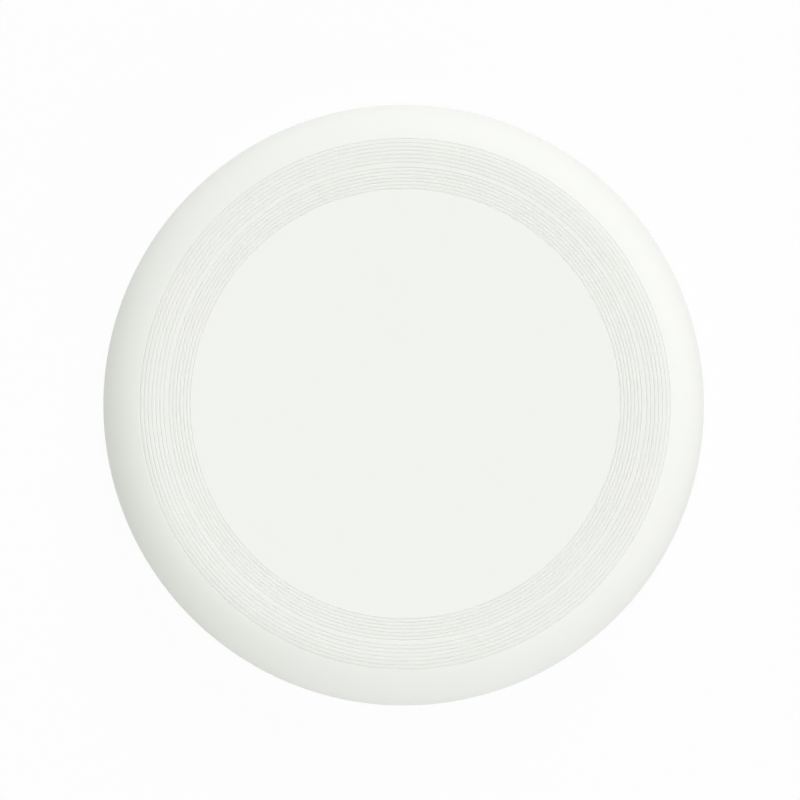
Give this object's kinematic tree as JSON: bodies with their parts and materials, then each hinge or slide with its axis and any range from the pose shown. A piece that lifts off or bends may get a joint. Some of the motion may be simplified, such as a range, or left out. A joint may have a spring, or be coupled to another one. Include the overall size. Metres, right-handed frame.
{
  "type": "flying disc",
  "caption": "Round moulded throwing disc: flat plate ringed by fine grooves, rounded shoulder, and a deep hollow rim with an inward lip for the fingers.",
  "frame": {"origin": "centre of the disc, on the plane of the lip that it rests on", "axes": "+Z is the disc's axis, from the open underside towards the top face; +X and +Y lie in the plane of the lip"},
  "size_m": [0.23, 0.23, 0.027],
  "materials": {
    "disc_plastic": "white polyethylene with a faint green cast, soft satin sheen, straight from the mould"
  },
  "bodies": {
    "root": {"disc_body": "disc_plastic"}
  },
  "joints": []
}
